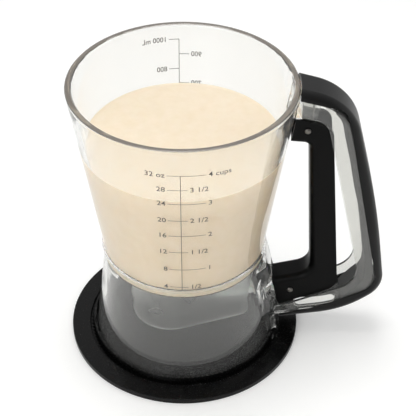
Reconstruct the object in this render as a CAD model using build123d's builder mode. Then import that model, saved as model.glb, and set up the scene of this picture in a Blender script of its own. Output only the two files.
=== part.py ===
from build123d import *
from math import hypot, sqrt
import os

# Pancake batter dispenser: a clear hourglass hopper with a loop handle, a squeeze trigger
# inside the loop, a sliding gate under the hopper floor, and a round drip tray it stands in.
# The origin is the centre of the tray's underside. +Z is up and the handle points along +X.
# All sizes are in millimetres.

# ---- Hopper and skirt ----
overall_height = 185.9
rim_radius = 66.0
wall = 3.2
lip_extra = 0.7
lip_height = 3.0
rim_chamfer = 0.9
waist_radius = 48.9
waist_z = 68.3
waist_fillet = 130.0
foot_radius = 57.3
floor_underside_z = 65.5
floor_thickness = 3.0
floor_dish = 2.0

# ---- Outlet, seat and seal ----
outlet_radius = 6.5
outlet_land = 1.1
seat_land = 2.5
seat_depth = 2.5
seal_width = 1.9
seal_bite = 1.6
seal_stand = 0.6
seal_clearance = 0.1

# ---- Gate and its tail ----
gate_thickness = 2.6
gate_top_gap = 0.1
gate_deck_gap = 0.2
gate_front_rim = 4.0
gate_rear_rim = 1.5
gate_closed_lap = 0.05
gate_neck = 5.0
web_setback = 8.0
web_thickness = 3.0
tail_half_width = 3.9
tail_height = 5.2
tail_drop = 4.3
eye_wall = 1.9

# ---- Valve housing and its screws ----
shroud_radius = 24.0
shroud_x = -9.0
nose_radius = 11.0
shroud_wall = 2.0
shroud_foot_z = 15.0
web_end_gap = 1.95
deck_thickness = 2.4
nozzle_step = 1.0
nozzle_wall = 1.8
nozzle_foot_z = 40.0
tail_notch_gap = 1.6
ear_radius = 4.4
boss_radius = 3.8
screw_radius = 1.45
screw_head_radius = 2.9
screw_head_height = 1.8
screw_tip_z = 63.8
screw_clearance = 0.05
rear_screw_reach = 5.0
side_screw_reach = 5.5
side_screw_shift = 7.0

# ---- Trigger ----
trigger_half_width = 9.2
trigger_side_wall = 2.3
finger_wall = 2.0
finger_round = 4.0
trigger_body_gap = 1.3
link_z = 35.8
link_boss_wall = 1.7
link_boss_gap = 0.3

# ---- Handle frame and grip ----
channel_gap = 0.3
crown_start_x = 35.0
crown_rise = 9.2
crown_drop = 16.4
crown_reach = 30.1
frame_side_wall = 1.8
frame_floor = 2.6
frame_round = 2.5
grip_side_skin = 0.8
grip_thickness = 3.2
grip_round = 5.0
grip_rim_gap = 0.4
drain_length = 25.6
drain_half_width = 5.5
drain_corner = 3.0
drain_step = 0.4

# ---- Stubs: a hollow wedge between skirt and handle, and a short one at the rim ----
stub_root_half_width = 28.0
stub_wall = 2.4
stub_brow = 25.0
upper_stub_length = 6.0
upper_stub_height = 34.0
keel_foot_z = 3.6
tail_window_half_width = 7.5
tail_window_gap = 2.4

# ---- Pins, lug and spring ----
pin_radius = 1.5
pin_clearance = 0.05
pin_head_rim = 0.3
pin_head_height = 0.9
pin_head_gap = 0.15
spigot_length = 0.5
spigot_clearance = 0.03
lug_wall = 1.9
lug_inner = 4.5
lug_side_gap = 0.8
link_slot_play = 0.15
coil_gap = 0.8
wire_radius = 0.55
coil_turns = 4
coil_pitch = 1.25
leg_seat_gap = 0.693720
moving_leg = 16.0
moving_leg_tilt = 8.1

# ---- Drip tray ----
tray_rim_width = 11.9
tray_height = 3.3
tray_skin = 1.8
keel_gap = 1.9
collar_top_z = 7.0
collar_wall = 1.5
foot_gap = 0.6
keel_notch_half_width = 18.0

# ---- Sizes that follow from the ones above ----
floor_top_z = floor_underside_z + floor_thickness
seat_z = floor_underside_z - seat_depth
seal_inner_radius = outlet_radius + outlet_land
seal_outer_radius = seal_inner_radius + seal_width
seat_radius = seal_outer_radius + seat_land
gate_top_z = seat_z - seal_stand - gate_top_gap
gate_bottom_z = gate_top_z - gate_thickness
gate_front_radius = outlet_radius + gate_front_rim
gate_rear_radius = seal_outer_radius + gate_rear_rim
gate_travel = outlet_radius + seal_outer_radius + gate_closed_lap
web_x = gate_rear_radius + web_setback
deck_top_z = gate_bottom_z - gate_deck_gap
deck_bottom_z = deck_top_z - deck_thickness
nozzle_radius = outlet_radius + nozzle_step
nose_x = web_x + web_thickness + gate_travel + web_end_gap + shroud_wall - nose_radius
screw_spots = [
    (shroud_x - shroud_radius - rear_screw_reach, 0.0),
    (shroud_x + side_screw_shift, shroud_radius + side_screw_reach),
    (shroud_x + side_screw_shift, -shroud_radius - side_screw_reach),
]
channel_half_width = trigger_half_width + channel_gap
frame_half_width = channel_half_width + frame_side_wall
grip_half_width = frame_half_width + grip_side_skin
pin_end = trigger_half_width + pin_head_gap
pin_head_radius = pin_radius + pin_head_rim
spigot_radius = 0.6 * pin_radius
lug_radius = pin_radius + lug_wall
lug_outer = trigger_half_width - trigger_side_wall - lug_side_gap
link_boss_radius = pin_radius + link_boss_wall
coil_radius = pin_radius + coil_gap + wire_radius
stub_root_x = foot_radius - 15.7
lower_seam_x = foot_radius + 0.7
keel_end_x = foot_radius + 2.3
grip_end_x = foot_radius + 3.7
upper_seam_x = rim_radius + 0.8
tray_recess_radius = keel_end_x + keel_gap
tray_radius = tray_recess_radius + tray_rim_width

# ---- Pivot and link: the tail's slot takes up the height that the link gains on its arc ----
pivot_x = rim_radius + 4.9
pivot_z = overall_height - 26.7
link_x = foot_radius + 9.8
tail_z = link_z - tail_drop
swing_radius = hypot(link_x - pivot_x, pivot_z - link_z)
open_depth = sqrt(swing_radius**2 - (link_x + gate_travel - pivot_x) ** 2)
crown_slope = crown_drop / (rim_radius + crown_reach - crown_start_x)
crown_over_leg = overall_height + crown_rise - crown_slope * (pivot_x + coil_radius - crown_start_x)
ceiling_depth = (grip_thickness + frame_floor) * hypot(1, crown_slope)
fixed_leg = crown_over_leg - ceiling_depth - pivot_z - leg_seat_gap
slot_above = max(pivot_z - link_z - open_depth, 0) + link_slot_play
slot_below = max(swing_radius, open_depth) - (pivot_z - link_z) + link_slot_play
slot_centre_z = link_z + (slot_above - slot_below) / 2
eye_radius = pin_radius + (slot_above + slot_below) / 2 + eye_wall

os.makedirs("parts", exist_ok=True)


def finish(piece, name):
    """Labels a finished piece and writes it out under its own name."""
    piece.part.label = name
    export_step(piece.part, f"parts/{name}.step")


def hourglass_face(inset):
    """Half section of the hourglass, filled to the axis and narrowed by inset all the way up."""
    with BuildSketch() as outline:
        with BuildLine():
            side = FilletPolyline(
                (foot_radius - inset, tray_skin),
                (waist_radius - inset, waist_z),
                (rim_radius - inset, overall_height),
                radius=waist_fillet,
            )
            Polyline(side @ 1, (0, overall_height), (0, tray_skin), side @ 0)
        make_face()
    return outline.sketch


def loop_face(depth):
    """Filled side outline of the handle, from the grip's outer curve inwards by depth."""
    with BuildSketch() as outline:
        with BuildLine():
            edge = FilletPolyline(
                (crown_start_x, overall_height + crown_rise),
                (rim_radius + crown_reach, overall_height + crown_rise - crown_drop),
                (0.5 * (rim_radius + foot_radius) + 54.4, 0.5 * overall_height + 9.85),
                (foot_radius + 69.0, 38.6),
                (foot_radius + 44.7, 18.6),
                (35.0, 7.7),
                radius=[37.0, 600.0, 19.0, 60.0],
            )
            Line(edge @ 1, edge @ 0)
        make_face()
        if depth > 0:
            offset(amount=-depth, mode=Mode.REPLACE)
    return outline.sketch


def grip_side_face():
    """Filled outline of the line where the grip's sides end on the clear frame."""
    with BuildSketch() as outline:
        with BuildLine():
            edge = FilletPolyline(
                (35.0, overall_height + 2.9),
                (rim_radius + 26.4, overall_height - 11.5),
                (foot_radius + 64.2, 40.8),
                (foot_radius + 26.9, 22.7),
                (35.0, 7.8),
                radius=[11.0, 14.0, 40.0],
            )
            Line(edge @ 1, edge @ 0)
        make_face()
    return outline.sketch


def window_face():
    """Filled outline of the frame's inner edges, open towards the hopper."""
    with BuildSketch() as outline:
        with BuildLine():
            edge = FilletPolyline(
                (35.0, overall_height - 7.4),
                (rim_radius + 15.7, overall_height - 20.1),
                (foot_radius + 52.9, 44.3),
                (35.0, 11.2),
                radius=[10.0, 16.0],
            )
            Line(edge @ 1, edge @ 0)
        make_face()
    return outline.sketch


def finger_gap_face(grow):
    """Filled outline of the finger gap between the trigger and the hopper, grown all round."""
    with BuildSketch() as outline:
        with BuildLine():
            edge = FilletPolyline(
                (35.0, overall_height - 33.4),
                (rim_radius + 6.6, overall_height - 36.5),
                (foot_radius + 21.9, 49.3),
                (35.0, 37.9),
                radius=[4.0, 10.0],
            )
            Line(edge @ 1, edge @ 0)
        make_face()
        if grow > 0:
            offset(amount=grow, mode=Mode.REPLACE)
    return outline.sketch


def shroud_face(inset):
    """Teardrop plan of the valve housing, narrowed by inset all round."""
    with BuildSketch() as outline:
        with Locations((shroud_x, 0)):
            Circle(shroud_radius - inset)
        with Locations((nose_x, 0)):
            Circle(nose_radius - inset)
        make_hull()
    return outline.sketch


def wedge_face(inset):
    """Plan of the lower stub, narrowed by inset on its two sloping sides."""
    root = stub_root_half_width - 1.35 * inset
    tip = frame_half_width - inset
    slope = (root - tip) / (lower_seam_x - stub_root_x)
    with BuildSketch() as outline:
        with BuildLine():
            Polyline(
                (stub_root_x - 6, root + 6 * slope),
                (lower_seam_x, tip),
                (keel_end_x + 6, tip),
                (keel_end_x + 6, -tip),
                (lower_seam_x, -tip),
                (stub_root_x - 6, -root - 6 * slope),
                close=True,
            )
        make_face()
    return outline.sketch


# ---- Drip tray: a well with a flat rim, and a collar that centres the skirt's foot ----
with BuildPart() as drip_tray:
    with BuildSketch(Plane.XZ):
        with BuildLine():
            Polyline(
                (0, 0),
                (tray_recess_radius + tray_skin, 0),
                (tray_recess_radius + tray_skin, tray_height - tray_skin),
                (tray_radius - tray_skin, tray_height - tray_skin),
                (tray_radius - tray_skin, 0),
                (tray_radius, 0),
                (tray_radius, tray_height),
                (tray_recess_radius, tray_height),
                (tray_recess_radius, tray_skin),
                (0, tray_skin),
                close=True,
            )
        tray_outline = make_face()
        chamfer(tray_outline.vertices().group_by(Axis.Y)[-1], length=0.5)
    revolve(axis=Axis.Z)
    with BuildSketch(Plane.XY.offset(tray_skin)):
        Circle(foot_radius + foot_gap + collar_wall)
        Circle(foot_radius + foot_gap, mode=Mode.SUBTRACT)
    extrude(amount=collar_top_z - tray_skin)
    with BuildSketch(Plane.XY.offset(tray_skin)):
        with Locations((foot_radius, 0)):
            Rectangle(6.0, 2 * keel_notch_half_width)
    extrude(amount=collar_top_z, mode=Mode.SUBTRACT)
    with BuildSketch(Plane.XY.offset(tray_skin)):
        with Locations((10.3, 1.2 - tray_recess_radius)):
            Circle(1.1)
    extrude(amount=tray_height - tray_skin + 0.6)

finish(drip_tray, "drip_tray")

# ---- Solid outline of the handle, which the frame, the upper stub and the grip all follow ----
with BuildPart() as frame_core:
    with BuildSketch(Plane.XZ):
        add(loop_face(grip_thickness))
    extrude(amount=frame_half_width, both=True)
    outer_edges = frame_core.edges().filter_by(
        lambda edge: abs(abs(edge.center().Y) - frame_half_width) < 0.01 and edge.center().X > 40
    )
    fillet(outer_edges, radius=frame_round)

# ---- Stubs of the hopper moulding, which the handle is welded to ----
with BuildPart() as lower_stub:
    with BuildSketch(Plane.XZ):
        with BuildLine():
            Polyline(
                (stub_root_x - 1.6, keel_foot_z),
                (keel_end_x, keel_foot_z),
                (lower_seam_x, 14.4),
                (lower_seam_x, link_z - 1.0),
                (waist_radius + 1.7, waist_z - 4.8),
                (stub_root_x - 1.6, waist_z - 4.8),
                close=True,
            )
        make_face()
    extrude(amount=40.0, both=True)
    with BuildSketch(Plane.XY):
        add(wedge_face(0))
    extrude(amount=100.0, mode=Mode.INTERSECT)
    fillet(lower_stub.edges().filter_by(Axis.Y).group_by(Axis.Z)[-2], radius=stub_brow)
    with BuildSketch(Plane.XY):
        add(wedge_face(stub_wall - 0.6))
    hollow = extrude(amount=100.0, mode=Mode.PRIVATE)
    with BuildSketch(Plane.XZ):
        with BuildLine():
            Polyline(
                (30.0, 11.2), (80.0, 19.5), (80.0, link_z + 8.7), (30.0, link_z + 8.7), close=True
            )
        make_face()
        with BuildLine():
            Polyline(
                (30.0, 0.0),
                (keel_end_x - stub_wall + 0.4, 0.0),
                (lower_seam_x - stub_wall, 13.6),
                (30.0, 8.9),
                close=True,
            )
        make_face()
    slab = extrude(amount=40.0, both=True, mode=Mode.PRIVATE)
    add(slab & hollow, mode=Mode.SUBTRACT)
    with BuildSketch(Plane.XZ):
        add(hourglass_face(wall / 2))
    revolve(axis=Axis.Z, mode=Mode.SUBTRACT)

with BuildPart() as upper_stub:
    add(frame_core.part)
    with BuildSketch(Plane.XZ):
        with Locations((upper_seam_x, overall_height)):
            Rectangle(upper_stub_length, upper_stub_height, align=(Align.MAX, Align.CENTER))
    extrude(amount=40.0, both=True, mode=Mode.INTERSECT)
    with BuildSketch(Plane.XZ):
        add(loop_face(grip_thickness + frame_floor))
    extrude(amount=channel_half_width, both=True, mode=Mode.SUBTRACT)
    with BuildSketch(Plane.XZ):
        add(hourglass_face(wall / 2))
    revolve(axis=Axis.Z, mode=Mode.SUBTRACT)

# ---- Hopper: cone, dished floor, outlet seat, skirt and stubs are one clear moulding ----
with BuildPart() as hopper_body:
    with BuildSketch(Plane.XZ):
        add(hourglass_face(0))
    revolve(axis=Axis.Z)
    add(lower_stub.part)
    add(upper_stub.part)
    with BuildSketch(Plane.XZ):
        add(hourglass_face(wall))
        with BuildLine():
            Polyline(
                (0, 0),
                (foot_radius, 0),
                (foot_radius, floor_top_z + floor_dish),
                (waist_radius - wall, floor_top_z + floor_dish),
                (seat_radius, floor_top_z),
                (0, floor_top_z),
                close=True,
            )
        make_face(mode=Mode.SUBTRACT)
        with BuildLine():
            Polyline(
                (rim_radius - wall - lip_extra, overall_height + 1),
                (rim_radius - wall - lip_extra, overall_height - lip_height),
                (rim_radius - wall - 0.6 * lip_extra, overall_height - 2 * lip_height),
                (rim_radius, overall_height - 2 * lip_height),
                (rim_radius, overall_height + 1),
                close=True,
            )
        make_face(mode=Mode.SUBTRACT)
    revolve(axis=Axis.Z, mode=Mode.SUBTRACT)
    with BuildSketch(Plane.XZ):
        add(hourglass_face(wall))
        with BuildLine():
            Polyline(
                (0, floor_underside_z),
                (rim_radius, floor_underside_z),
                (rim_radius, overall_height + 1),
                (0, overall_height + 1),
                close=True,
            )
        make_face(mode=Mode.SUBTRACT)
    revolve(axis=Axis.Z, mode=Mode.SUBTRACT)
    with BuildSketch(Plane.XY.offset(seat_z)):
        Circle(seat_radius)
    extrude(amount=seat_depth)
    with BuildSketch(Plane.XY.offset(deck_top_z)):
        with Locations(*screw_spots):
            Circle(boss_radius)
    extrude(amount=floor_underside_z - deck_top_z)
    with BuildSketch(Plane.XY.offset(deck_top_z)):
        with Locations(*screw_spots):
            Circle(screw_radius + screw_clearance)
    extrude(amount=screw_tip_z + 0.5 - deck_top_z, mode=Mode.SUBTRACT)
    with BuildSketch(Plane.XY.offset(seat_z)):
        Circle(seal_outer_radius + seal_clearance)
        Circle(seal_inner_radius - seal_clearance, mode=Mode.SUBTRACT)
    extrude(amount=seal_bite, mode=Mode.SUBTRACT)
    with BuildSketch(Plane.XY.offset(seat_z)):
        Circle(outlet_radius)
    extrude(amount=20.0, mode=Mode.SUBTRACT)
    with BuildSketch(Plane.YZ.offset(stub_root_x)):
        with Locations((0, tail_z)):
            Rectangle(2 * tail_window_half_width, tail_height + 2 * tail_window_gap)
    extrude(amount=foot_radius - 2.4 - stub_root_x, mode=Mode.SUBTRACT)
    rim_edges = hopper_body.edges().filter_by(GeomType.CIRCLE).group_by(Axis.Z)[-1]
    chamfer(rim_edges, length=rim_chamfer)

finish(hopper_body, "hopper_body")

# ---- Handle frame: a clear U-channel with the lug that carries the upper pin ----
with BuildPart() as handle_frame:
    add(frame_core.part)
    with BuildSketch(Plane.XZ):
        add(window_face())
        with BuildLine():
            Polyline(
                (0, waist_z),
                (upper_seam_x, waist_z),
                (upper_seam_x, 2 * overall_height),
                (0, 2 * overall_height),
                close=True,
            )
        make_face()
        with BuildLine():
            Polyline((0, 0), (lower_seam_x, 0), (lower_seam_x, waist_z), (0, waist_z), close=True)
        make_face()
    extrude(amount=40.0, both=True, mode=Mode.SUBTRACT)
    with BuildSketch(Plane.XZ):
        add(loop_face(grip_thickness + frame_floor))
    extrude(amount=channel_half_width, both=True, mode=Mode.SUBTRACT)
    for side in (-1, 1):
        with BuildSketch(Plane.XZ.offset(side * (lug_inner + lug_outer) / 2)):
            with BuildLine():
                Polyline(
                    (pivot_x - lug_radius, pivot_z),
                    (pivot_x - lug_radius, overall_height - 3.7),
                    (pivot_x + 2.2 * lug_radius, overall_height - 6.1),
                    (pivot_x + lug_radius, pivot_z),
                    close=True,
                )
            make_face()
            with Locations((pivot_x, pivot_z)):
                Circle(lug_radius)
            add(loop_face(grip_thickness + frame_floor / 4), mode=Mode.INTERSECT)
        extrude(amount=(lug_outer - lug_inner) / 2, both=True)
    with BuildSketch(Plane.XZ):
        with Locations((pivot_x, pivot_z)):
            Circle(pin_radius + pin_clearance)
    extrude(amount=lug_outer + 1.0, both=True, mode=Mode.SUBTRACT)
    with BuildSketch(Plane.XY):
        with Locations((foot_radius + 26.9, 0)):
            RectangleRounded(drain_length, 2 * drain_half_width, drain_corner)
    extrude(amount=link_z, mode=Mode.SUBTRACT)

finish(handle_frame, "handle_frame")

# ---- Grip: soft black moulding wrapped round the outside of the frame ----
with BuildPart() as handle_grip:
    with BuildSketch(Plane.XZ):
        add(loop_face(0))
    extrude(amount=grip_half_width, both=True)
    grip_edges = handle_grip.edges().filter_by(
        lambda edge: abs(abs(edge.center().Y) - grip_half_width) < 0.01 and edge.center().X > 40
    )
    fillet(grip_edges, radius=grip_round)
    with BuildSketch(Plane.XZ):
        add(grip_side_face())
        with BuildLine():
            Polyline((0, 0), (grip_end_x, 0), (grip_end_x, waist_z), (0, waist_z), close=True)
        make_face()
    extrude(amount=40.0, both=True, mode=Mode.SUBTRACT)
    add(frame_core.part, mode=Mode.SUBTRACT)
    with BuildSketch(Plane.XY.offset(waist_z)):
        Circle(rim_radius + grip_rim_gap)
    extrude(amount=overall_height, mode=Mode.SUBTRACT)
    with BuildSketch(Plane.XY):
        with Locations((foot_radius + 26.9, 0)):
            RectangleRounded(
                drain_length + 2 * drain_step,
                2 * (drain_half_width + drain_step),
                drain_corner + drain_step,
            )
    extrude(amount=link_z, mode=Mode.SUBTRACT)

finish(handle_grip, "handle_grip")

# ---- Valve housing: a teardrop shroud with the gate's deck, the nozzle and three ears ----
with BuildPart() as valve_housing:
    with BuildSketch(Plane.XY.offset(shroud_foot_z)):
        add(shroud_face(0))
        add(shroud_face(shroud_wall), mode=Mode.SUBTRACT)
    extrude(amount=floor_underside_z - shroud_foot_z)
    with BuildSketch(Plane.XY.offset(deck_bottom_z)):
        add(shroud_face(shroud_wall / 2))
        with Locations((web_x + web_thickness / 2 + gate_travel / 2, 0)):
            Rectangle(gate_travel + web_thickness + 2.4, 2 * gate_neck + 2.6, mode=Mode.SUBTRACT)
    extrude(amount=deck_thickness)
    with BuildSketch(Plane.XY.offset(nozzle_foot_z)):
        Circle(nozzle_radius + nozzle_wall)
    extrude(amount=deck_bottom_z - nozzle_foot_z)
    with BuildSketch(Plane.XY.offset(nozzle_foot_z)):
        Circle(nozzle_radius)
    extrude(amount=deck_top_z - nozzle_foot_z, mode=Mode.SUBTRACT)
    with BuildSketch(Plane.XY.offset(deck_bottom_z)):
        for spot in screw_spots:
            root = (max(spot[0], shroud_x - shroud_radius + 1.5), 0.72 * spot[1])
            with Locations(spot):
                Circle(ear_radius)
            with Locations(root):
                Circle(ear_radius)
            with BuildLine():
                reach = Vector(*spot) - Vector(*root)
                flank = ear_radius * reach.normalized().rotate(Axis.Z, 90)
                Polyline(
                    Vector(*root) + flank,
                    Vector(*spot) + flank,
                    Vector(*spot) - flank,
                    Vector(*root) - flank,
                    close=True,
                )
            make_face()
        add(shroud_face(shroud_wall / 2), mode=Mode.SUBTRACT)
    extrude(amount=deck_thickness)
    with BuildSketch(Plane.XY.offset(deck_bottom_z)):
        with Locations(*screw_spots):
            Circle(screw_radius + screw_clearance)
    extrude(amount=deck_thickness, mode=Mode.SUBTRACT)
    with BuildSketch(Plane.YZ.offset(nose_x)):
        with Locations((0, shroud_foot_z)):
            Rectangle(
                2 * (tail_half_width + tail_notch_gap),
                tail_z + tail_height / 2 + tail_notch_gap - shroud_foot_z,
                align=(Align.CENTER, Align.MIN),
            )
    extrude(amount=nose_radius + 1.0, mode=Mode.SUBTRACT)

finish(valve_housing, "valve_housing")

with BuildPart() as housing_screws:
    with BuildSketch(Plane.XY.offset(deck_bottom_z - screw_head_height)):
        with Locations(*screw_spots):
            Circle(screw_head_radius)
    extrude(amount=screw_head_height)
    with BuildSketch(Plane.XY.offset(deck_bottom_z)):
        with Locations(*screw_spots):
            Circle(screw_radius)
    extrude(amount=screw_tip_z - deck_bottom_z)

finish(housing_screws, "housing_screws")

# ---- Seal: a soft square ring held in the seat above the gate ----
with BuildPart() as valve_seal:
    with BuildSketch(Plane.XY.offset(seat_z - seal_stand)):
        Circle(seal_outer_radius)
        Circle(seal_inner_radius, mode=Mode.SUBTRACT)
    extrude(amount=seal_bite + seal_stand)

finish(valve_seal, "valve_seal")

# ---- Gate: a flat shutter with its aperture, a web down and a tail out to the trigger ----
with BuildPart() as gate_slide:
    with BuildSketch(Plane.XY.offset(gate_bottom_z)):
        with Locations((-gate_travel, 0)):
            Circle(gate_front_radius)
        Circle(gate_rear_radius)
        make_hull()
        Rectangle(web_x + web_thickness, 2 * gate_neck, align=(Align.MIN, Align.CENTER))
    extrude(amount=gate_thickness)
    with BuildSketch(Plane.XY.offset(gate_bottom_z)):
        with Locations((-gate_travel, 0)):
            Circle(outlet_radius)
    extrude(amount=gate_thickness, mode=Mode.SUBTRACT)
    with BuildSketch(Plane.XY.offset(tail_z)):
        with Locations((web_x, 0)):
            Rectangle(web_thickness, 2 * gate_neck, align=(Align.MIN, Align.CENTER))
    extrude(amount=gate_bottom_z - tail_z)
    with BuildSketch(Plane.YZ.offset(web_x)):
        with Locations((0, tail_z)):
            Rectangle(2 * tail_half_width, tail_height)
    extrude(amount=link_x - eye_radius - web_x)
    with BuildSketch(Plane.XZ):
        with Locations((link_x, slot_centre_z)):
            Circle(eye_radius)
        with Locations((link_x - eye_radius, tail_z)):
            Circle(tail_height / 2)
        make_hull()
    extrude(amount=tail_half_width, both=True)
    with BuildSketch(Plane.XZ):
        with Locations((link_x, slot_centre_z)):
            SlotCenterToCenter(
                slot_above + slot_below, 2 * (pin_radius + pin_clearance), rotation=90
            )
    extrude(amount=tail_half_width + 1.0, both=True, mode=Mode.SUBTRACT)

finish(gate_slide, "gate_slide")

# ---- Trigger: a hollow bracket with its smooth finger side towards the hopper ----
with BuildPart() as trigger:
    with BuildSketch(Plane.XZ):
        with BuildLine():
            back = FilletPolyline(
                (foot_radius + 3.1, link_z - 12.7),
                (foot_radius + 39.5, 38.5),
                (rim_radius + 19.5, overall_height - 24.6),
                (50.0, overall_height - 15.4),
                radius=[10.0, 8.0],
            )
            Polyline(back @ 1, (50.0, waist_z), (foot_radius - 4.4, link_z + 8.0), back @ 0)
        make_face()
        add(finger_gap_face(0), mode=Mode.SUBTRACT)
    extrude(amount=trigger_half_width, both=True)
    finger_edges = trigger.edges().filter_by(
        lambda edge: abs(abs(edge.center().Y) - trigger_half_width) < 0.01
        and edge.center().X < foot_radius + 24
        and link_z + 1 < edge.center().Z < pivot_z - 5
    )
    fillet(finger_edges, radius=finger_round)
    with BuildSketch(Plane.XZ):
        Rectangle(3 * rim_radius, 2 * overall_height, align=(Align.MIN, Align.MIN))
        add(finger_gap_face(finger_wall), mode=Mode.SUBTRACT)
    extrude(amount=trigger_half_width - trigger_side_wall, both=True, mode=Mode.SUBTRACT)
    for side in (-1, 1):
        boss_inner = tail_half_width + link_boss_gap
        boss_outer = trigger_half_width - trigger_side_wall / 2
        with BuildSketch(Plane.XZ.offset(side * boss_inner)):
            with Locations((link_x, link_z)):
                Circle(link_boss_radius)
        extrude(amount=side * (boss_outer - boss_inner))
    with BuildSketch(Plane.XZ):
        with Locations((pivot_x, pivot_z), (link_x, link_z)):
            Circle(pin_radius + pin_clearance)
    extrude(amount=trigger_half_width + 1.0, both=True, mode=Mode.SUBTRACT)
    with BuildSketch(Plane.XZ):
        add(hourglass_face(-trigger_body_gap))
    revolve(axis=Axis.Z, mode=Mode.SUBTRACT)

finish(trigger, "trigger")


# ---- Pins: each a headed steel pin with a push-on cap over the spigot at its far end ----
def head_outline(tip, start):
    """Half section of a bevelled head of radius tip, rising from start along the sketch's Y."""
    with BuildSketch() as outline:
        with BuildLine():
            Polyline(
                (0, start),
                (tip, start),
                (tip, start + 0.5 * pin_head_height),
                (0.7 * tip, start + pin_head_height),
                (0, start + pin_head_height),
                close=True,
            )
        make_face()
    return outline.sketch


def bar_outline(radius, start, stop):
    """Half section of a round bar from start to stop along the sketch's Y."""
    with BuildSketch() as outline:
        with BuildLine():
            Polyline((0, start), (radius, start), (radius, stop), (0, stop), close=True)
        make_face()
    return outline.sketch


def near_plane(x, z):
    """The sketch plane through a pin's axis whose Y points to the -Y side."""
    return Plane(origin=(x, 0, z), x_dir=(1, 0, 0), z_dir=(0, 0, -1))


def far_plane(x, z):
    """The sketch plane through a pin's axis whose Y points to the +Y side."""
    return Plane(origin=(x, 0, z), x_dir=(1, 0, 0), z_dir=(0, 0, 1))


with BuildPart() as pivot_pin:
    with BuildSketch(near_plane(pivot_x, pivot_z)):
        add(head_outline(pin_head_radius, pin_end))
        add(bar_outline(pin_radius, -pin_end, pin_end))
        add(bar_outline(spigot_radius, -pin_end - spigot_length, -pin_end))
    revolve(axis=Axis((pivot_x, 0, pivot_z), (0, 1, 0)))

finish(pivot_pin, "pivot_pin")

with BuildPart() as pivot_pin_retainer:
    with BuildSketch(far_plane(pivot_x, pivot_z)):
        add(head_outline(pin_head_radius, pin_end))
        add(
            bar_outline(spigot_radius + spigot_clearance, pin_end, pin_end + spigot_length),
            mode=Mode.SUBTRACT,
        )
    revolve(axis=Axis((pivot_x, 0, pivot_z), (0, 1, 0)))

finish(pivot_pin_retainer, "pivot_pin_retainer")

with BuildPart() as link_pin:
    with BuildSketch(near_plane(link_x, link_z)):
        add(head_outline(pin_head_radius, pin_end))
        add(bar_outline(pin_radius, -pin_end, pin_end))
        add(bar_outline(spigot_radius, -pin_end - spigot_length, -pin_end))
    revolve(axis=Axis((link_x, 0, link_z), (0, 1, 0)))

finish(link_pin, "link_pin")

with BuildPart() as link_pin_retainer:
    with BuildSketch(far_plane(link_x, link_z)):
        add(head_outline(pin_head_radius, pin_end))
        add(
            bar_outline(spigot_radius + spigot_clearance, pin_end, pin_end + spigot_length),
            mode=Mode.SUBTRACT,
        )
    revolve(axis=Axis((link_x, 0, link_z), (0, 1, 0)))

finish(link_pin_retainer, "link_pin_retainer")

# ---- Return spring: a torsion coil on the upper pin, one leg on the frame, one on the trigger
coil_length = (coil_turns - moving_leg_tilt / 360.0) * coil_pitch
coil_place = Plane(
    origin=(pivot_x, -coil_length / 2, pivot_z), x_dir=(1, 0, 0), z_dir=(0, 1, 0)
)
coil = coil_place * Helix(pitch=coil_pitch, height=coil_length, radius=coil_radius)
with BuildPart() as return_spring:
    with BuildLine() as spring_path:
        add(coil)
        top_leg = Line((coil @ 0) - fixed_leg * (coil % 0), coil @ 0)
        Line(coil @ 1, (coil @ 1) + moving_leg * (coil % 1))
    with BuildSketch(Plane(origin=top_leg @ 0, z_dir=top_leg % 0)):
        RegularPolygon(wire_radius, 6)
    sweep(path=spring_path.wires()[0], is_frenet=True)

finish(return_spring, "return_spring")
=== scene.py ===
import math
import bpy
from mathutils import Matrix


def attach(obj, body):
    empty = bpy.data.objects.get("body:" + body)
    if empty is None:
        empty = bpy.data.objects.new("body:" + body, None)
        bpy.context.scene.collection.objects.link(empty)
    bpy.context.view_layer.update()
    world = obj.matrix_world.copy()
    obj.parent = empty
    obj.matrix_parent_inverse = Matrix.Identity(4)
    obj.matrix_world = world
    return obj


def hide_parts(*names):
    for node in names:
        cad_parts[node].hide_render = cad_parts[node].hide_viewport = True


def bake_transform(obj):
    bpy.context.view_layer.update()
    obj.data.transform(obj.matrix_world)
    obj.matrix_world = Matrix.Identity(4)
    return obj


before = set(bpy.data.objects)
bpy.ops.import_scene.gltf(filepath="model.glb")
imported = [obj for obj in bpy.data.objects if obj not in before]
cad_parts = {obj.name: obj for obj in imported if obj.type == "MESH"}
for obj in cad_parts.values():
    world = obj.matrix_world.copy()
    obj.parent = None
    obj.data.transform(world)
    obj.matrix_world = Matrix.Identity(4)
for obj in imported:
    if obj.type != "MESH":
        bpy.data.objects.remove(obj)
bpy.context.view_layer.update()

bpy.ops.object.select_all(action="DESELECT")

# ---- Camera -----------------------------------------------------------------------------
# A long lens looks down at the dispenser from in front, with the handle on the right.
bpy.ops.object.camera_add(location=(0.0147, -0.5331, 0.5353))
camera = bpy.context.object
camera.name = "camera"
camera.rotation_euler = (math.radians(50.42), 0.0, 0.0)
camera.rotation_euler.rotate_axis("Z", math.radians(0.48))
camera.data.lens = 98.43
camera.data.sensor_width = 36.0
camera.data.clip_start = 0.01
bpy.context.scene.camera = camera
bpy.context.scene.view_settings.view_transform = "Standard"


# ---- Table, backdrop and light ----------------------------------------------------------
# A white sweep of matte card under a light tent, which is brighter above and behind. A
# softbox hangs overhead, one stands in front to the left, and a weak one lights the edges
# from the right.
def linear(code):
    """The linear colour, with alpha 1, of an sRGB hex code."""
    parts = [int(code[i : i + 2], 16) / 255.0 for i in (1, 3, 5)]
    return tuple(c / 12.92 if c <= 0.04045 else ((c + 0.055) / 1.055) ** 2.4 for c in parts) + (1.0,)


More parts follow.
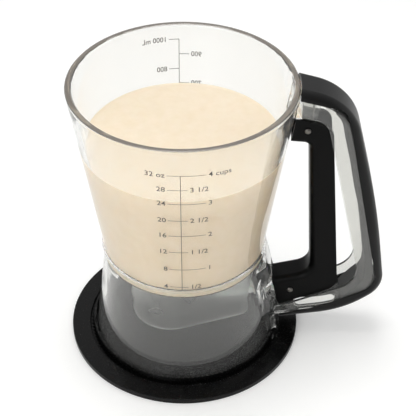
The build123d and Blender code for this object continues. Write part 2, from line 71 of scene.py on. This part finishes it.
def add_node(material, kind, settings=None, links=None):
    """Adds a shader node, sets its inputs or properties by name, and links its inputs."""
    tree = material.node_tree
    made = tree.nodes.new("ShaderNode" + kind)
    for name, value in (settings or {}).items():
        if isinstance(name, int) or name in made.inputs:
            made.inputs[name].default_value = value
        else:
            setattr(made, name, value)
    for name, source in (links or {}).items():
        tree.links.new(source, made.inputs[name])
    return made


def new_material(name):
    """An empty node material with that name."""
    material = bpy.data.materials.new(name)
    material.use_nodes = True
    material.node_tree.nodes.clear()
    return material


world = bpy.context.scene.world or bpy.data.worlds.new("light_tent")
bpy.context.scene.world = world
world.use_nodes = True
world.node_tree.nodes.clear()
rays = add_node(world, "LightPath")
seen = add_node(
    world, "Math", {"operation": "MAXIMUM"}, {0: rays.outputs["Is Camera Ray"], 1: rays.outputs["Is Transmission Ray"]}
)
sky = add_node(world, "TexCoord").outputs["Generated"]
tent_top = (0.0, 0.5, 0.85)
toward = add_node(world, "VectorMath", {"operation": "DOT_PRODUCT", 1: tent_top}, {0: sky})
tent_fall = add_node(
    world, "MapRange",
    {"From Min": -0.45, "From Max": 0.75, "To Min": 0.12, "To Max": 0.72, "interpolation_type": "SMOOTHSTEP"},
    {"Value": toward.outputs["Value"]},
)
tent_light = add_node(world, "Background", {"Color": linear("#FFFFFF")}, {"Strength": tent_fall.outputs[0]})
tent_seen = add_node(world, "Background", {"Color": linear("#FFFFFF"), "Strength": 1.0})
mixed = add_node(world, "MixShader", {}, {0: seen.outputs[0], 1: tent_light.outputs[0], 2: tent_seen.outputs[0]})
add_node(world, "OutputWorld", {}, {"Surface": mixed.outputs[0]})

bpy.ops.mesh.primitive_circle_add(vertices=96, radius=3.0, fill_type="NGON")
table = bpy.context.object
table.name = "table"
card = new_material("matte_white_card")
card_place = add_node(card, "TexCoord").outputs["Object"]
card_grain = add_node(card, "TexNoise", {"Scale": 900.0, "Detail": 3.0}, {"Vector": card_place})
card_bump = add_node(card, "Bump", {"Strength": 0.05, "Distance": 0.0002}, {"Height": card_grain.outputs[0]})
card_matte = add_node(card, "BsdfDiffuse", {"Color": linear("#F7F7F6")}, {"Normal": card_bump.outputs[0]})
card_glow = add_node(card, "Emission", {"Color": linear("#FFFFFF"), "Strength": 0.12})
card_rays = add_node(card, "LightPath")
card_seen = add_node(
    card, "Math", {"operation": "MAXIMUM"},
    {0: card_rays.outputs["Is Camera Ray"], 1: card_rays.outputs["Is Transmission Ray"]},
)
card_sum = add_node(card, "AddShader", {}, {0: card_matte.outputs[0], 1: card_glow.outputs[0]})
card_mix = add_node(card, "MixShader", {}, {0: card_seen.outputs[0], 1: card_matte.outputs[0], 2: card_sum.outputs[0]})
add_node(card, "OutputMaterial", {}, {"Surface": card_mix.outputs[0]})
table.data.materials.append(card)


def softbox(name, place, aim, size, power):
    """A square area lamp at place, facing aim."""
    bpy.ops.object.light_add(type="AREA", location=place)
    lamp = bpy.context.object
    lamp.name = name
    lamp.data.shape = "SQUARE"
    lamp.data.size = size
    lamp.data.energy = power
    toward = [a - p for a, p in zip(aim, place)]
    flat = math.hypot(toward[0], toward[1])
    lamp.rotation_euler = (math.atan2(flat, -toward[2]), 0.0, math.atan2(toward[1], toward[0]) - math.pi / 2)
    return lamp


softbox("overhead_softbox", (-0.03, 0.13, 1.05), (0.0, 0.0, 0.05), 0.45, 3.75)
softbox("front_softbox", (-0.45, -0.85, 0.45), (0.0, 0.0, 0.09), 0.6, 3.3)
softbox("right_softbox", (0.9, -0.1, 0.35), (0.05, 0.0, 0.09), 0.5, 1.2)

# ---- Clear mouldings: hopper, handle frame and valve housing ------------------------------
# Styrene-acrylonitrile, injection moulded and polished: hard, glossy and very slightly grey.
# The hopper and the handle's channel are one moulding in look; the valve shroud is screwed on.
def clear_moulding(name, tint, rough, painted_rim_from):
    """Clear plastic with flow waves 40 mm long, which bend reflections a little. Above the
    height painted_rim_from, as on the rim, it is finely matte and opaque, and its taupe colour is
    painted light, standing for the wall's light gathered at the rim. Rays from lamps go straight through to what is
    inside."""
    material = new_material(name)
    place = add_node(material, "TexCoord").outputs["Object"]
    flow = add_node(material, "TexNoise", {"Scale": 25.0, "Detail": 1.0}, {"Vector": place})
    waves = add_node(material, "Bump", {"Strength": 0.012, "Distance": 0.0003}, {"Height": flow.outputs[0]})
    haze = add_node(material, "MapRange", {"To Min": rough * 0.7, "To Max": rough * 1.3}, {"Value": flow.outputs[0]})
    plastic = add_node(
        material, "BsdfPrincipled",
        {"Base Color": linear(tint), "IOR": 1.5, "Transmission Weight": 0.973},
        {"Roughness": haze.outputs[0], "Normal": waves.outputs[0]},
    )
    # Opaque taupe on the rim: painted light, standing for the wall's light gathered there.
    rim_light_paint = add_node(material, "BsdfPrincipled", {"Base Color": linear("#857C72"), "Roughness": 0.32, "IOR": 1.5})
    level = add_node(material, "SeparateXYZ", {}, {"Vector": place}).outputs["Z"]
    rim_light_mask = add_node(
        material, "MapRange",
        {"From Min": painted_rim_from, "From Max": painted_rim_from + 0.0004, "To Min": 0.0, "To Max": 0.6}, {"Value": level},
    )
    wall = add_node(material, "MixShader", {}, {0: rim_light_mask.outputs[0], 1: plastic.outputs[0], 2: rim_light_paint.outputs[0]})
    through = add_node(material, "BsdfTransparent", {"Color": linear("#F0F2F2")})
    path = add_node(material, "LightPath")
    mix = add_node(
        material, "MixShader", {}, {0: path.outputs["Is Shadow Ray"], 1: wall.outputs[0], 2: through.outputs[0]}
    )
    add_node(material, "OutputMaterial", {}, {"Surface": mix.outputs[0]})
    return material


def smooth_copy(node, name, sharp, rounding=0.0):
    """A welded, smooth-shaded copy of a CAD node, which it replaces, with rounded edges."""
    bpy.ops.object.select_all(action="DESELECT")
    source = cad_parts[node]
    piece = source.copy()
    piece.data = source.data.copy()
    bpy.context.collection.objects.link(piece)
    for key in list(piece.keys()):
        if key.startswith("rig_"):
            del piece[key]
    piece.parent = None
    piece.name = name
    piece.data.name = name
    piece.data.materials.clear()
    bpy.context.view_layer.objects.active = piece
    piece.select_set(True)
    bpy.ops.object.mode_set(mode="EDIT")
    bpy.ops.mesh.select_all(action="SELECT")
    bpy.ops.mesh.remove_doubles(threshold=0.000002)
    if rounding > 0.0:
        bpy.ops.mesh.dissolve_limited(angle_limit=math.radians(0.5))
    bpy.ops.object.mode_set(mode="OBJECT")
    if rounding > 0.0:
        edges = piece.modifiers.new("moulded_edges", "BEVEL")
        edges.width = rounding
        edges.segments = 4
        edges.angle_limit = math.radians(35.0)
        bpy.ops.object.modifier_apply(modifier="moulded_edges")
    bpy.ops.object.shade_smooth_by_angle(angle=math.radians(sharp))
    piece.modifiers.new("face_weights", "WEIGHTED_NORMAL").keep_sharp = True
    bpy.ops.object.modifier_apply(modifier="face_weights")
    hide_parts(node)
    return piece


# Height from which the hopper's rim carries its painted light.
rim_painted_from = 0.1852
nowhere = 0.3
san = clear_moulding("clear_san_moulding", "#F5F5F3", 0.01, rim_painted_from)
handle_san = clear_moulding("clear_san_handle", "#E9E9E6", 0.01, nowhere)
matt_san = clear_moulding("matt_san_moulding", "#F5F5F3", 0.3, nowhere)
for node, name, rounding, look in (
    ("hopper_body", "hopper", 0.0, san),
    ("handle_frame", "handle_channel", 0.00085, handle_san),
    ("valve_housing", "valve_shroud", 0.0, matt_san),
):
    piece = smooth_copy(node, name, 30.0, rounding)
    piece.data.materials.append(look)
    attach(piece, "dispenser")

# ---- Batter -------------------------------------------------------------------------------
# Pancake batter filling the cone to just under the 28 ounce line: thick, opaque and cream,
# with a level top. It is turned as one solid that wets the inside of the wall. Its outer ring is
# drawn down into the thick clear floor: a painted reflection of the batter in the floor's sides.
def trace(name, outline):
    """A chain of edges in the XZ plane through outline, a list of (x, z) in metres."""
    bpy.ops.object.select_all(action="DESELECT")
    bpy.ops.mesh.primitive_plane_add(size=0.01, location=(0.0, 0.0, 0.0))
    drawn = bpy.context.object
    drawn.name = name
    drawn.data.name = name
    bpy.ops.object.mode_set(mode="EDIT")
    bpy.ops.mesh.select_all(action="SELECT")
    bpy.ops.mesh.merge(type="CENTER")
    start = outline[0]
    bpy.ops.transform.translate(value=(start[0], 0.0, start[1]))
    for here, there in zip(outline, outline[1:]):
        step = (there[0] - here[0], 0.0, there[1] - here[1])
        bpy.ops.mesh.extrude_vertices_move(TRANSFORM_OT_translate={"value": step})
    bpy.ops.mesh.select_all(action="SELECT")
    return drawn


def lathe(name, outline, steps):
    """A solid turned about the Z axis from outline, a list of (radius, height) in metres."""
    turned = trace(name, outline)
    bpy.ops.mesh.spin(steps=steps, angle=2.0 * math.pi, center=(0.0, 0.0, 0.0), axis=(0.0, 0.0, 1.0))
    bpy.ops.mesh.select_all(action="SELECT")
    bpy.ops.mesh.remove_doubles(threshold=0.00001)
    bpy.ops.mesh.normals_make_consistent(inside=False)
    bpy.ops.object.mode_set(mode="OBJECT")
    return turned


wall = 0.0032
waist_radius, waist_height, cone_slope = 0.0489, 0.0683, 0.1446


def wall_inside(height):
    """Inner radius of the clear wall at a height between the floor and the rim, in metres."""
    straight = waist_radius + cone_slope * (height - waist_height) - wall
    corner = waist_radius + 0.00125 - wall + max(0.0, height - 0.069) ** 2 / 0.26
    return max(straight, corner) if height < 0.0878 else straight


wetting = 0.00015
tray_top = 0.0033
rim_radius = 0.066
batter_top = tray_top + 2.18 * rim_radius
floor_under = 0.0658
floor_edge = 0.0466
heights = [0.074, 0.078, 0.082, 0.086, 0.09, 0.1, 0.115, 0.13, batter_top - 0.0012]
outline = [(0.0, 0.0691), (0.03, 0.0696), (floor_edge - 0.0012, 0.0703)]
# The outline dips into the clear floor here: a painted reflection of the batter.
outline += [(floor_edge - 0.0009, floor_under + 0.0004), (floor_edge - 0.0004, floor_under)]
outline += [(floor_edge, floor_under + 0.0005), (floor_edge + 0.0001, 0.0702)]
outline += [(wall_inside(h) + wetting, h) for h in heights]
top_edge = wall_inside(batter_top)
outline += [(top_edge + wetting, batter_top + 0.0003), (top_edge - 0.0006, batter_top - 0.0002)]
outline += [(top_edge - 0.002, batter_top - 0.0004), (0.03, batter_top - 0.0005), (0.0, batter_top - 0.0005)]
batter = lathe("batter", outline, 128)
bpy.ops.object.shade_smooth_by_angle(angle=math.radians(40.0))

# Wet flour mix: lumps about 5 mm across give it a faint mottle, and light goes a few
# millimetres in, so its edges are soft.
mix_look = new_material("pancake_batter")
mix_place = add_node(mix_look, "TexCoord").outputs["Object"]
lumps = add_node(mix_look, "TexNoise", {"Scale": 180.0, "Detail": 4.0}, {"Vector": mix_place})
tones = add_node(mix_look, "ValToRGB", {}, {"Fac": lumps.outputs[0]})
tones.color_ramp.elements[0].color = linear("#DFCEB2")
tones.color_ramp.elements[1].color = linear("#E9DBC7")
skin = add_node(mix_look, "Bump", {"Strength": 0.1, "Distance": 0.0002}, {"Height": lumps.outputs[0]})
mix_surface = add_node(
    mix_look, "BsdfPrincipled",
    {
        "Roughness": 0.42, "IOR": 1.4,
        "Subsurface Weight": 0.35, "Subsurface Scale": 0.003, "Subsurface Radius": (1.0, 0.7, 0.45),
    },
    {"Base Color": tones.outputs["Color"], "Normal": skin.outputs[0]},
)
add_node(mix_look, "OutputMaterial", {}, {"Surface": mix_surface.outputs[0]})
batter.data.materials.append(mix_look)
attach(batter, "dispenser")

# ---- Waist bead -----------------------------------------------------------------------------
# A low bead of the same clear plastic round the waist, moulded with the wall. Its two edges
# show as a grey double line over the batter.
bead_wall = 0.05028
bead_proud = 0.0006
bead_low, bead_high = 0.0706, 0.0738
bead_outline = [
    (bead_wall, bead_low), (bead_wall + 0.6 * bead_proud, bead_low + 0.0002),
    (bead_wall + bead_proud, bead_low + 0.0008), (bead_wall + bead_proud, bead_high - 0.0008),
    (bead_wall + 0.6 * bead_proud, bead_high - 0.0002), (bead_wall, bead_high), (bead_wall, bead_low),
]
bead = lathe("waist_bead", bead_outline, 128)
bpy.ops.object.shade_smooth_by_angle(angle=math.radians(50.0))
bead.data.materials.append(san)
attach(bead, "dispenser")

# ---- Black mouldings: tray, trigger, grip and seal ------------------------------------------
# Tray and trigger are moulded ABS; the tray's tool is polished finer, so it shines more. Grip
# and seal are soft thermoplastic rubber, the grip moulded over the clear channel.
def black_moulding(name, dark, light, rough, grit, depth, shine, sheen):
    """Black plastic or rubber with a tool grain of grit metres, which breaks up its shine.
    Sheen gives rubber its dusty look at grazing angles. The grain is drawn at 0.6 to 0.9 mm,
    coarser than the real 0.1 mm, so that it shows."""
    material = new_material(name)
    place = add_node(material, "TexCoord").outputs["Object"]
    grain = add_node(material, "TexNoise", {"Scale": 1.0 / grit, "Detail": 3.0}, {"Vector": place})
    tone = add_node(material, "ValToRGB", {}, {"Fac": grain.outputs[0]})
    tone.color_ramp.elements[0].color = linear(dark)
    tone.color_ramp.elements[1].color = linear(light)
    gloss = add_node(
        material, "MapRange", {"To Min": rough - 0.06, "To Max": rough + 0.06}, {"Value": grain.outputs[0]}
    )
    relief = add_node(material, "Bump", {"Strength": 0.2, "Distance": depth}, {"Height": grain.outputs[0]})
    surface = add_node(
        material, "BsdfPrincipled",
        {
            "IOR": 1.5, "Specular IOR Level": shine,
            "Sheen Weight": sheen, "Sheen Roughness": 0.4, "Sheen Tint": linear("#FFFFFF"),
        },
        {"Base Color": tone.outputs["Color"], "Roughness": gloss.outputs[0], "Normal": relief.outputs[0]},
    )
    add_node(material, "OutputMaterial", {}, {"Surface": surface.outputs[0]})
    return material


abs_black = black_moulding("black_abs_satin", "#020202", "#050505", 0.33, 0.0009, 0.000003, 0.1, 0.0)
tray_black = black_moulding("black_abs_polished", "#020202", "#050505", 0.26, 0.0009, 0.000003, 0.22, 0.0)
rubber_black = black_moulding("black_overmould_rubber", "#050505", "#0A0A0A", 0.5, 0.0006, 0.00006, 0.2, 0.25)
for node, name, body, look, slot in (
    ("drip_tray", "tray", "tray", tray_black, "black_plastic"),
    ("trigger", "squeeze_trigger", "trigger", abs_black, "black_plastic"),
    ("handle_grip", "soft_grip", "dispenser", rubber_black, "soft_grip"),
    ("valve_seal", "seal_ring", "dispenser", rubber_black, "soft_grip"),
):
    piece = smooth_copy(node, name, 30.0)
    piece.data.materials.append(look)
    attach(piece, body)

# ---- Painted grey band in the handle ---------------------------------------------------------
# A grey slab, which shows through the channel's near wall as a grey band: a painted reflection
# of light on that wall. It is one flat slab across the channel's floor, cut to the band's outline.
band_half_width = 0.0094
band_back = [
    (0.0862, 0.1722), (0.0906, 0.1690), (0.0936, 0.1650), (0.0960, 0.1568), (0.1004, 0.1400),
    (0.1054, 0.1210), (0.1103, 0.1020), (0.1136, 0.0820), (0.1160, 0.0665), (0.1181, 0.0530),
    (0.1178, 0.0450), (0.1150, 0.0380), (0.1100, 0.0330), (0.1000, 0.0275),
]
band_edge = [
    (0.0858, 0.1716), (0.0888, 0.1680), (0.0905, 0.1640), (0.0921, 0.1560), (0.0963, 0.1396),
    (0.1003, 0.1206), (0.1052, 0.1014), (0.1087, 0.0814), (0.1112, 0.0660), (0.1130, 0.0545),
    (0.1128, 0.0475), (0.1108, 0.0425), (0.1068, 0.0380), (0.0996, 0.0285),
]
painted_band = trace("painted_reflection_band", band_back + band_edge[::-1])
bpy.ops.transform.translate(value=(0.0, -band_half_width, 0.0))
bpy.ops.mesh.edge_face_add()
bpy.ops.mesh.extrude_region_move(TRANSFORM_OT_translate={"value": (0.0, 2.0 * band_half_width, 0.0)})
bpy.ops.mesh.select_all(action="SELECT")
bpy.ops.mesh.normals_make_consistent(inside=False)
bpy.ops.object.mode_set(mode="OBJECT")
# The band's grey is a painted reflection of the light on the channel's near wall.
band_look = black_moulding("painted_grey_reflection", "#4A4A4A", "#565656", 0.6, 0.0006, 0.00003, 0.2, 0.0)
painted_band.data.materials.append(band_look)
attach(painted_band, "dispenser")

# ---- Metal: pins, caps, screws and spring -----------------------------------------------------
# Stainless steel, turned or drawn and tumbled: even, a little dull, with a fine grain of
# 0.4 mm that spreads its glints.
steel = new_material("tumbled_stainless_steel")
steel_place = add_node(steel, "TexCoord").outputs["Object"]
steel_grain = add_node(steel, "TexNoise", {"Scale": 2500.0, "Detail": 2.0}, {"Vector": steel_place})
steel_rough = add_node(steel, "MapRange", {"To Min": 0.26, "To Max": 0.36}, {"Value": steel_grain.outputs[0]})
steel_surface = add_node(
    steel, "BsdfPrincipled", {"Base Color": linear("#716E6A"), "Metallic": 1.0}, {"Roughness": steel_rough.outputs[0]}
)
add_node(steel, "OutputMaterial", {}, {"Surface": steel_surface.outputs[0]})
for node, name, body in (
    ("pivot_pin", "upper_pin", "dispenser"),
    ("pivot_pin_retainer", "upper_pin_cap", "dispenser"),
    ("link_pin", "lower_pin", "trigger"),
    ("link_pin_retainer", "lower_pin_cap", "trigger"),
    ("return_spring", "spring", "dispenser"),
    ("housing_screws", "screws", "dispenser"),
):
    piece = smooth_copy(node, name, 35.0)
    piece.data.materials.append(steel)
    if name == "spring":
        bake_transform(piece)
    else:
        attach(piece, body)

# ---- Gate -------------------------------------------------------------------------------------
# Natural acetal shutter, milky and slightly waxy, moulded in one piece with its tail. Light
# goes 2 mm in, so its thin parts glow a little.
acetal = new_material("natural_acetal")
acetal_place = add_node(acetal, "TexCoord").outputs["Object"]
acetal_cloud = add_node(acetal, "TexNoise", {"Scale": 200.0}, {"Vector": acetal_place})
acetal_rough = add_node(acetal, "MapRange", {"To Min": 0.3, "To Max": 0.42}, {"Value": acetal_cloud.outputs[0]})
acetal_surface = add_node(
    acetal, "BsdfPrincipled", {"Base Color": linear("#DFE0DC"), "Subsurface Weight": 0.2, "Subsurface Scale": 0.002},
    {"Roughness": acetal_rough.outputs[0]},
)
add_node(acetal, "OutputMaterial", {}, {"Surface": acetal_surface.outputs[0]})
piece = smooth_copy("gate_slide", "gate", 30.0)
piece.data.materials.append(acetal)
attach(piece, "gate")

# ---- Printed scales ----------------------------------------------------------------------------
# Grey screen ink baked on the outside of the clear wall: ounces and cups on the front,
# millilitres on the back. Each mark is a film 0.03 mm thick, bent to the wall.
film = 0.00003
ink = new_material("grey_screen_ink")
ink_place = add_node(ink, "TexCoord").outputs["Object"]
ink_mottle = add_node(ink, "TexNoise", {"Scale": 1500.0, "Detail": 2.0}, {"Vector": ink_place})
ink_tone = add_node(ink, "ValToRGB", {}, {"Fac": ink_mottle.outputs[0]})
ink_tone.color_ramp.elements[0].color = linear("#4E4C49")
ink_tone.color_ramp.elements[1].color = linear("#625F5B")
ink_surface = add_node(ink, "BsdfPrincipled", {"Roughness": 0.45}, {"Base Color": ink_tone.outputs["Color"]})
add_node(ink, "OutputMaterial", {}, {"Surface": ink_surface.outputs[0]})


def wrap_on_wall(piece, back):
    """Bends a flat print, drawn as arc length against height, round the front or back."""
    for vertex in piece.data.vertices:
        along, height, lift = vertex.co
        reach = wall_inside(height) + wall + 0.00004 + lift
        turn = along / reach
        side = 1.0 if back else -1.0
        vertex.co = (-side * reach * math.sin(turn), side * reach * math.cos(turn), height)


def print_text(words, along, height, tall, align, back):
    """Words printed at an arc length and height, with capitals of about 0.7 of tall."""
    bpy.ops.object.text_add(location=(0.0, 0.0, 0.0))
    letters = bpy.context.object
    letters.data.body = words
    letters.data.size = tall
    letters.data.align_x = align
    letters.data.align_y = "CENTER"
    letters.data.extrude = film / 2.0
    letters.data.offset = 0.00006 if back else 0.00003
    letters.data.resolution_u = 3
    bpy.ops.object.convert(target="MESH")
    for vertex in letters.data.vertices:
        vertex.co.x += along
        vertex.co.y += height
    wrap_on_wall(letters, back)
    return letters


def print_line(start, stop, thick, back):
    """A printed rule, level or upright, from one (arc length, height) to another, in 16 lengths."""
    bpy.ops.object.select_all(action="DESELECT")
    along, rise = abs(stop[0] - start[0]), abs(stop[1] - start[1])
    lengths = (16, 1) if along > rise else (1, 16)
    bpy.ops.mesh.primitive_grid_add(x_subdivisions=lengths[0], y_subdivisions=lengths[1], size=1.0)
    rule = bpy.context.object
    middle = ((start[0] + stop[0]) / 2.0, (start[1] + stop[1]) / 2.0, 0.0)
    bpy.ops.object.mode_set(mode="EDIT")
    bpy.ops.mesh.select_all(action="SELECT")
    bpy.ops.transform.resize(value=(max(along, thick), max(rise, thick), 1.0), center_override=(0.0, 0.0, 0.0))
    bpy.ops.transform.translate(value=middle)
    bpy.ops.mesh.extrude_region_move(TRANSFORM_OT_translate={"value": (0.0, 0.0, film)})
    bpy.ops.object.mode_set(mode="OBJECT")
    wrap_on_wall(rule, back)
    return rule


def height_at(radii):
    """Height of a graduation given in rim radii above the tray's top, in metres."""
    return tray_top + radii * rim_radius


def finish_print(name, marks):
    """Joins the marks of one scale into a single piece that rides on the dispenser."""
    bpy.ops.object.select_all(action="DESELECT")
    for mark in marks:
        mark.select_set(True)
    bpy.context.view_layer.objects.active = marks[0]
    bpy.ops.object.join()
    scale = bpy.context.object
    scale.name = name
    scale.data.name = name
    scale.data.materials.clear()
    scale.data.materials.append(ink)
    bpy.ops.object.mode_set(mode="EDIT")
    bpy.ops.mesh.select_all(action="SELECT")
    bpy.ops.mesh.remove_doubles(threshold=0.000001)
    bpy.ops.mesh.normals_make_consistent(inside=False)
    bpy.ops.object.mode_set(mode="OBJECT")
    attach(scale, "dispenser")


front = [print_line((0.0, height_at(1.07)), (0.0, height_at(2.5)), 0.00035, False)]
for radii, ounces, cups in (
    (2.5, "32 oz", "4 cups"), (2.336, "28", "3 1/2"), (2.17, "24", "3"), (1.968, "20", "2 1/2"),
    (1.776, "16", "2"), (1.566, "12", "1 1/2"), (1.335, "8", "1"), (1.1, "4", "1/2"),
):
    tick = height_at(radii)
    right = 0.0037 if "/" in cups else 0.0138
    front.append(print_line((-0.0072, tick), (right, tick), 0.0003, False))
    front.append(print_text(ounces, -0.0082, tick, 0.005, "RIGHT", False))
    front.append(print_text(cups, right + 0.0012, tick, 0.005, "LEFT", False))
finish_print("front_scale", front)

stem = 0.0038
back = [print_line((stem, 0.112), (stem, 0.1749), 0.00045, True)]
for height, millilitres, side in (
    (0.1749, "1000 mL", 1), (0.1653, "900", -1), (0.1557, "800", 1),
    (0.1462, "700", -1), (0.136, "600", 1), (0.125, "500", -1),
):
    back.append(print_line((stem, height), (stem + side * 0.0063, height), 0.0004, True))
    back.append(print_text(millilitres, stem + side * 0.0074, height, 0.0045, "LEFT" if side > 0 else "RIGHT", True))
finish_print("back_scale", back)
